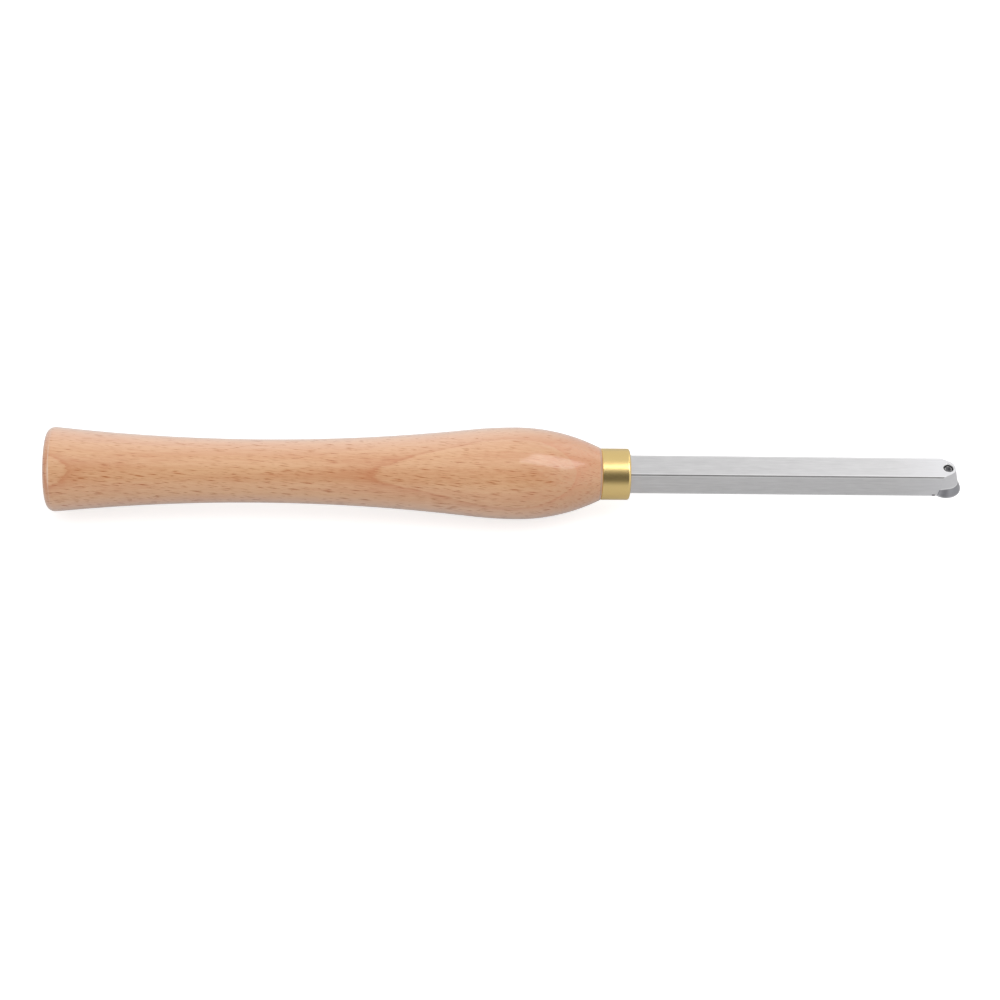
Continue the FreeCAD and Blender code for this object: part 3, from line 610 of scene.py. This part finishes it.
def make_epoxy():
    """Cured epoxy: dull, yellowish and slightly cloudy."""
    material, tree, shader, place = start_material("epoxy")
    cloud = noise(tree, place, EPOXY_GRAIN)
    colour = blend_colours(tree, cloud, EPOXY_DARK, EPOXY_LIGHT)
    tree.links.new(colour, shader.inputs["Base Color"])
    tree.links.new(remap(tree, cloud, *EPOXY_ROUGHNESS), shader.inputs["Roughness"])
    set_bump(tree, shader, cloud, EPOXY_RELIEF, EPOXY_BUMP)
    return material


def dress(node_name, material):
    """Give a CAD node its material."""
    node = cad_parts[node_name]
    node.data.materials.clear()
    node.data.materials.append(material)


SHARP_EDGE = math.radians(32)


def skin(name, rings, looped, material):
    """A smooth mesh over rings of points, its last ring joined to the first one or both ends capped."""
    count = len(rings[0])
    points = [point for ring in rings for point in ring]
    pairs = [(lower, lower + 1) for lower in range(len(rings) - 1)]
    if looped:
        pairs.append((len(rings) - 1, 0))
    faces = []
    for lower, upper in pairs:
        for step in range(count):
            after = (step + 1) % count
            corners = ((lower, step), (lower, after), (upper, after), (upper, step))
            faces.append(tuple(ring * count + place for ring, place in corners))
    if not looped:
        faces.append(tuple(range(count)))
        faces.append(tuple(range(len(points) - count, len(points))))
    mesh = bpy.data.meshes.new(name)
    mesh.from_pydata(points, [], faces)
    work = bmesh.new()
    work.from_mesh(mesh)
    bmesh.ops.recalc_face_normals(work, faces=work.faces)
    work.to_mesh(mesh)
    work.free()
    mesh.shade_smooth()
    mesh.set_sharp_from_angle(angle=SHARP_EDGE)
    mesh.materials.append(material)
    piece = bpy.data.objects.new(name, mesh)
    bpy.context.scene.collection.objects.link(piece)
    return piece


# Ferrule: its broken rear edge, the rounding of its front edge, and its wall.
FERRULE_SEGMENTS = 160
FERRULE_REAR_BREAK = 0.25
FERRULE_ROUND = 0.9
FERRULE_WALL = 1.2
ROUND_STEPS = 10


def make_ferrule(brass):
    """The turned ferrule, with the full rounding of its front edge."""
    rear, front = FERRULE_LOW.x / MM, FERRULE_HIGH.x / MM
    outer = (FERRULE_HIGH.y - FERRULE_LOW.y) / 2 / MM
    inner = outer - FERRULE_WALL
    profile = [
        (rear, inner),
        (rear, outer - FERRULE_REAR_BREAK),
        (rear + FERRULE_REAR_BREAK, outer),
        (rear + 2 * FERRULE_REAR_BREAK, outer),
        (front - FERRULE_ROUND - FERRULE_REAR_BREAK, outer),
    ]
    for step in range(ROUND_STEPS + 1):
        lean = math.pi / 2 * step / ROUND_STEPS
        station = front - FERRULE_ROUND * (1 - math.sin(lean))
        profile.append((station, outer - FERRULE_ROUND * (1 - math.cos(lean))))
    profile.append((front, inner))
    rings = []
    for station, radius in profile:
        ring = []
        for segment in range(FERRULE_SEGMENTS):
            turn = FULL_TURN * segment / FERRULE_SEGMENTS
            height = AXIS_HEIGHT / MM + radius * math.sin(turn)
            ring.append(Vector((station, radius * math.cos(turn), height)) * MM)
        rings.append(ring)
    ferrule = skin("turned_ferrule", rings, True, brass)
    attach(ferrule, "handle_and_bar")
    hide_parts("ferrule")


def get_thread_radius(depth, turn):
    """Radius of a right-handed thread at a depth below the screw's end, behind its bevelled lead."""
    phase = (-depth / THREAD_PITCH - turn / FULL_TURN) % 1.0
    ridge = min(1.0, max(0.0, RIDGE_HEIGHT - RIDGE_STEEPNESS * abs(phase - 0.5)))
    fade = min(1.0, max(0.0, (THREAD_LENGTH - depth) / THREAD_PITCH))
    radius = THREAD_ROOT + (THREAD_CREST - THREAD_ROOT) * ridge
    radius = NECK_RADIUS + (radius - NECK_RADIUS) * fade
    return min(radius, LEAD_RADIUS + depth)


def get_socket_radius(turn, inset=0.0):
    """Radius of the lobed socket."""
    return SOCKET_RADIUS - inset + SOCKET_LOBE * math.cos(SOCKET_LOBES * turn)


def make_screw(steel):
    """The cutter's screw with its thread, bevelled head and lobed socket."""
    length = (SCREW_HIGH.z - SCREW_LOW.z) / MM
    socket_foot = length - SOCKET_DEPTH
    rows = [
        (DIMPLE_DEPTH, lambda turn: POINT_RADIUS),
        (0.0, lambda turn: DIMPLE_RADIUS),
    ]
    for row in range(THREAD_ROWS + 1):
        depth = THREAD_LENGTH * row / THREAD_ROWS
        rows.append((depth, lambda turn, depth=depth: get_thread_radius(depth, turn)))
    rows += [
        (HEAD_CONE_FOOT, lambda turn: NECK_RADIUS),
        (HEAD_SHOULDER, lambda turn: HEAD_RADIUS),
        (length - HEAD_BEVEL, lambda turn: HEAD_RADIUS),
        (length, lambda turn: HEAD_RADIUS - HEAD_BEVEL),
        (length, get_socket_radius),
        (length - SOCKET_BEVEL, lambda turn: get_socket_radius(turn, SOCKET_BEVEL)),
        (socket_foot, lambda turn: get_socket_radius(turn, SOCKET_BEVEL)),
        (socket_foot - 2 * SOCKET_BEVEL, lambda turn: POINT_RADIUS),
    ]
    rings = []
    for depth, get_row_radius in rows:
        ring = []
        for segment in range(SCREW_SEGMENTS):
            turn = FULL_TURN * segment / SCREW_SEGMENTS
            radius = get_row_radius(turn)
            spot = Vector((radius * math.cos(turn), radius * math.sin(turn), -depth)) * MM
            ring.append(spot + Vector((SCREW_STATION, 0, SCREW_HIGH.z)))
        rings.append(ring)
    screw = skin("threaded_screw", rings, False, steel)
    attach(screw, "cutter_screw")
    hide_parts("cutter_screw")


def make_camera():
    """The photograph's camera: a long lens above and in front of the tool, near the grip's middle."""
    data = bpy.data.cameras.new("camera")
    data.lens = CAMERA_LENS
    data.clip_start = CAMERA_NEAREST
    camera = bpy.data.objects.new("camera", data)
    bpy.context.scene.collection.objects.link(camera)
    towards = Vector((0, -math.cos(CAMERA_ELEVATION), math.sin(CAMERA_ELEVATION)))
    place = Vector((CAMERA_STATION, 0, AXIS_HEIGHT)) + CAMERA_DISTANCE * towards
    aim = Matrix.Rotation(math.pi / 2 - CAMERA_ELEVATION, 4, "X") @ Matrix.Rotation(-CAMERA_YAW, 4, "Y")
    turn = Matrix.Rotation(-CAMERA_DIP, 4, "X") @ Matrix.Rotation(CAMERA_ROLL, 4, "Z")
    camera.matrix_world = Matrix.Translation(place) @ aim @ turn
    bpy.context.scene.camera = camera


# Lamps: name, place and aim in metres, width and height in metres, and watts.
SOFTBOXES = [
    ("key", (0.40, -0.16, 0.95), (-0.05, 0, 0), 0.50, 0.66, 2.75),
    ("left_fill", (-1.20, -0.95, 0.70), (-0.05, 0, 0), 1.4, 1.4, 2.4),
    ("right_fill", (1.15, -0.95, 0.70), (-0.05, 0, 0), 1.4, 1.4, 1.5),
    ("rim", (0.68, 0.75, 0.85), (0.05, 0, 0), 0.72, 0.72, 1.0),
]


def make_softbox(name, place, aim, width, height, watts):
    """A soft rectangular lamp that points at a place."""
    data = bpy.data.lights.new(name, "AREA")
    data.shape = "RECTANGLE"
    data.size = width
    data.size_y = height
    data.energy = watts
    lamp = bpy.data.objects.new(name, data)
    bpy.context.scene.collection.objects.link(lamp)
    lamp.location = place
    lamp.rotation_euler = (Vector(place) - Vector(aim)).to_track_quat("Z", "Y").to_euler()


# Floor: its size in metres, its paper, and how bright that looks by itself to the camera and in
# reflections.
FLOOR_HALF = 4.0
FLOOR_DROP = 0.02 * MM
FLOOR_COLOUR = (0.58, 0.58, 0.58, 1)
FLOOR_ROUGHNESS = 0.9
FLOOR_GLOSS = 0.1
FLOOR_CAMERA_GLOW = 0.72
FLOOR_MIRROR_GLOW = 0.1


def get_glow(tree, camera_share, mirror_share):
    """How brightly a surface glows to the camera, and to what mirrors it or shows it through."""
    path = make_node(tree, "ShaderNodeLightPath").outputs
    shares = {
        "Is Camera Ray": camera_share,
        "Is Glossy Ray": mirror_share,
        "Is Transmission Ray": mirror_share,
    }
    return add(tree, *(multiply(tree, path[name], share) for name, share in shares.items()))


def make_floor():
    """A plain pale floor that the handle lies on."""
    level = CAD_BOX[0].z - FLOOR_DROP
    turns = ((-1, -1), (1, -1), (1, 1), (-1, 1))
    corners = [(FLOOR_HALF * x, FLOOR_HALF * y, level) for x, y in turns]
    mesh = bpy.data.meshes.new("floor")
    mesh.from_pydata(corners, [], [(0, 1, 2, 3)])
    floor = bpy.data.objects.new("floor", mesh)
    bpy.context.scene.collection.objects.link(floor)
    material = bpy.data.materials.new("floor_paper")
    material.use_nodes = True
    tree = material.node_tree
    shader = tree.nodes["Principled BSDF"]
    shader.inputs["Base Color"].default_value = FLOOR_COLOUR
    shader.inputs["Roughness"].default_value = FLOOR_ROUGHNESS
    shader.inputs["Specular IOR Level"].default_value = FLOOR_GLOSS
    shader.inputs["Emission Color"].default_value = WHITE
    glow = get_glow(tree, FLOOR_CAMERA_GLOW, FLOOR_MIRROR_GLOW)
    tree.links.new(glow, shader.inputs["Emission Strength"])
    mesh.materials.append(material)


# Studio: its bright walls, and the dim place under the camera that polished metal shows as a band.
# The place's edge and core are the cosines of the angles from its middle.
DIM_ELEVATION = math.radians(33)
DIM_EDGE = 0.80
DIM_CORE = 0.965
ROOM_LEVEL = 0.78
DIM_LEVEL = 0.12


def make_world():
    """A bright studio that is dim under the camera, on white for the camera."""
    world = bpy.data.worlds.new("studio")
    bpy.context.scene.world = world
    world.use_nodes = True
    tree = world.node_tree
    background = tree.nodes["Background"]
    direction = make_node(tree, "ShaderNodeTexCoord").outputs["Generated"]
    dim_middle = (0, -math.cos(DIM_ELEVATION), math.sin(DIM_ELEVATION))
    pair = {0: direction, 1: dim_middle}
    closeness = make_node(tree, "ShaderNodeVectorMath", pair, operation="DOT_PRODUCT").outputs["Value"]
    room = remap(tree, closeness, DIM_EDGE, DIM_CORE, ROOM_LEVEL, DIM_LEVEL)
    is_camera = make_node(tree, "ShaderNodeLightPath").outputs["Is Camera Ray"]
    strength = calculate(tree, "MAXIMUM", is_camera, room)
    tree.links.new(strength, background.inputs["Strength"])
    background.inputs["Color"].default_value = WHITE


def main():
    """Dress the tool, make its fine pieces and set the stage."""
    brass = make_brass()
    bar_steel = make_bar_steel()
    screw_steel = make_screw_steel()
    dress("handle", make_beech())
    dress("ferrule", brass)
    dress("tool_bar", bar_steel)
    dress("tang_adhesive", make_epoxy())
    dress("cutter", make_carbide())
    dress("cutter_screw", screw_steel)
    make_ferrule(brass)
    make_screw(screw_steel)
    make_camera()
    make_floor()
    make_world()
    for name, place, aim, width, height, watts in SOFTBOXES:
        make_softbox(name, place, aim, width, height, watts)
    bpy.context.scene.view_settings.view_transform = "Standard"


main()
